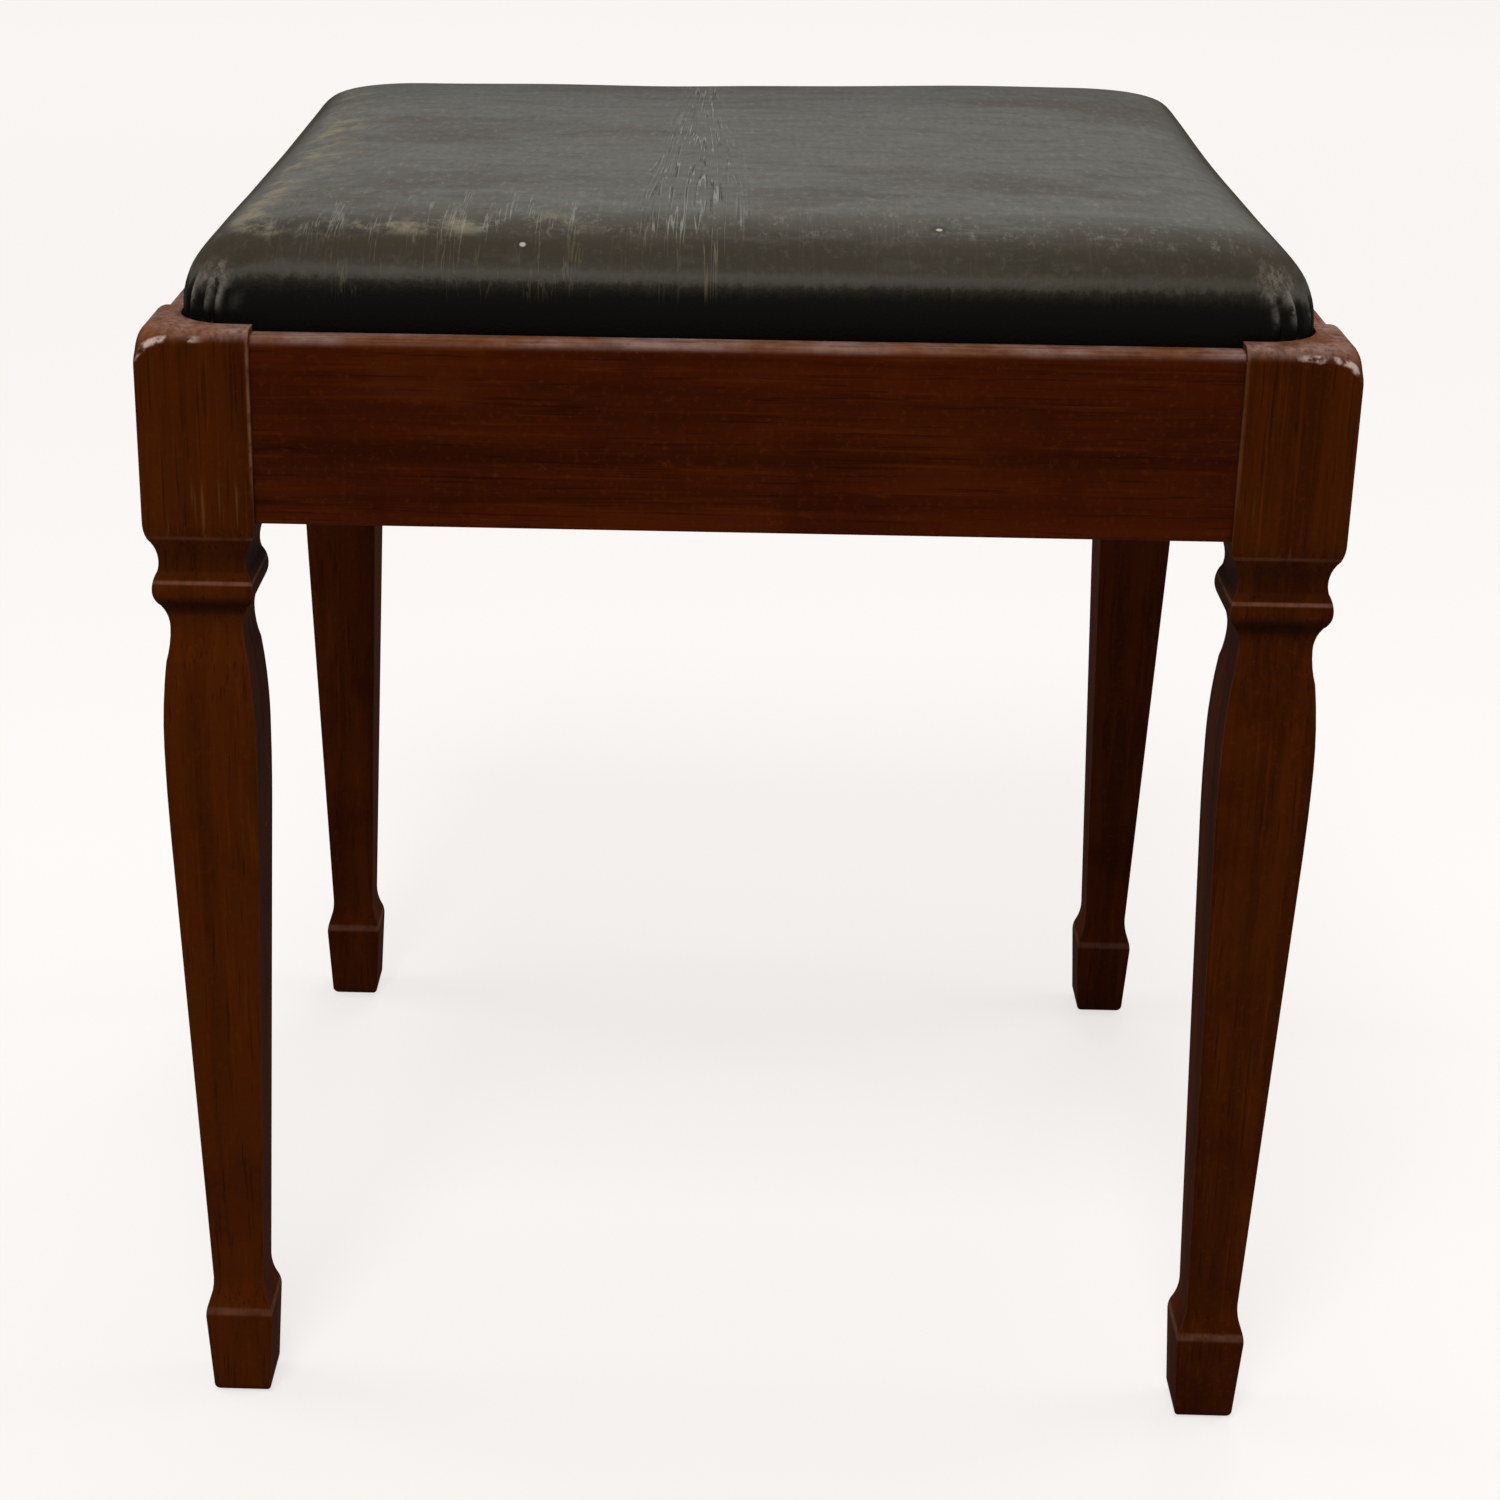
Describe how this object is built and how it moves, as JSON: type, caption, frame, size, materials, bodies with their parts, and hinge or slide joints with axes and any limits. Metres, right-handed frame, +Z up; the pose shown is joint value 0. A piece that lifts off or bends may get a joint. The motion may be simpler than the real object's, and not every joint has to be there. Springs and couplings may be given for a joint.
{
  "type": "vanity stool",
  "caption": "Vanity stool with moulded square tapered legs on spade feet, plain rails and a lift-out upholstered slip seat in black leathercloth.",
  "frame": {"origin": "on the floor, under the middle of the stool", "axes": "+Z up from the floor to the seat; -Y is the front; X runs along the wider side"},
  "size_m": [0.433, 0.405, 0.483],
  "materials": {
    "stained_hardwood": "red-brown mahogany stain under a worn satin varnish",
    "plain_hardwood": "bare sawn hardwood",
    "plywood": "bare plywood",
    "steel": "dull steel",
    "leathercloth": "worn black leathercloth with fine cracks",
    "foam": "open-cell foam",
    "wadding": "cotton wadding"
  },
  "bodies": {
    "frame": {"leg_front_left": "stained_hardwood", "leg_front_right": "stained_hardwood", "leg_rear_right": "stained_hardwood", "leg_rear_left": "stained_hardwood", "rail_front": "stained_hardwood", "rail_right": "stained_hardwood", "rail_rear": "stained_hardwood", "rail_left": "stained_hardwood", "corner_block_front_left": "plain_hardwood", "corner_block_front_right": "plain_hardwood", "corner_block_rear_right": "plain_hardwood", "corner_block_rear_left": "plain_hardwood", "rail_dowels": "plain_hardwood", "corner_block_screws": "steel"},
    "seat": {"seat_board": "plywood", "seat_foam": "foam", "seat_wadding": "wadding", "seat_cover": "leathercloth", "cover_tacks": "steel"}
  },
  "joints": [
    {"name": "seat_lift", "type": "slide", "parent": "frame", "child": "seat", "axis": [0, 0, 1], "range_m": [0, 0.06]}
  ]
}
